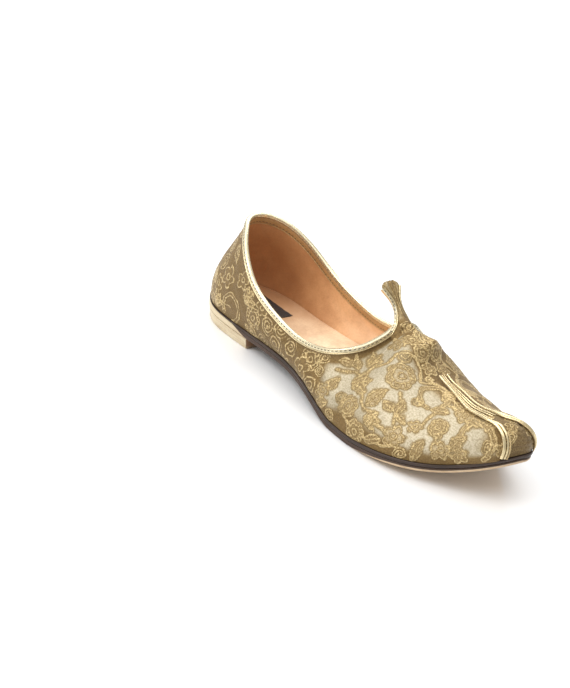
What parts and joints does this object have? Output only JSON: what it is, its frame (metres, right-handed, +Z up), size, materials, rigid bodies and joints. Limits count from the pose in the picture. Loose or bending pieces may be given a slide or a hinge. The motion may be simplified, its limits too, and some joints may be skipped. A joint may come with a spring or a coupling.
{
  "type": "mojari shoe",
  "caption": "Flat slip-on brocade shoe for the right foot, with a bound collar, an upright throat tab, a corded toe strip and a low heel.",
  "frame": {"origin": "on the floor under the middle of the shoe's bounding box", "axes": "+X to the toe, +Y to the wearer's left (the inner side of this right shoe), +Z up"},
  "size_m": [0.2866, 0.1002, 0.0871],
  "materials": {
    "brocade": "gold woven satin",
    "gilt_binding": "pale metallic gold tape",
    "gold_cord": "twisted gold cord",
    "dark_edge": "dark brown edge",
    "pale_leather": "matte sole leather",
    "lining_leather": "smooth lining leather"
  },
  "bodies": {
    "root": {"upper": "brocade", "collar_binding": "gilt_binding", "rand": "dark_edge", "outsole": "pale_leather", "insole": "lining_leather", "heel_block": "pale_leather", "centre_strip": "gold_cord", "toe_piping_lateral": "gilt_binding", "toe_piping_medial": "gilt_binding"}
  },
  "joints": []
}
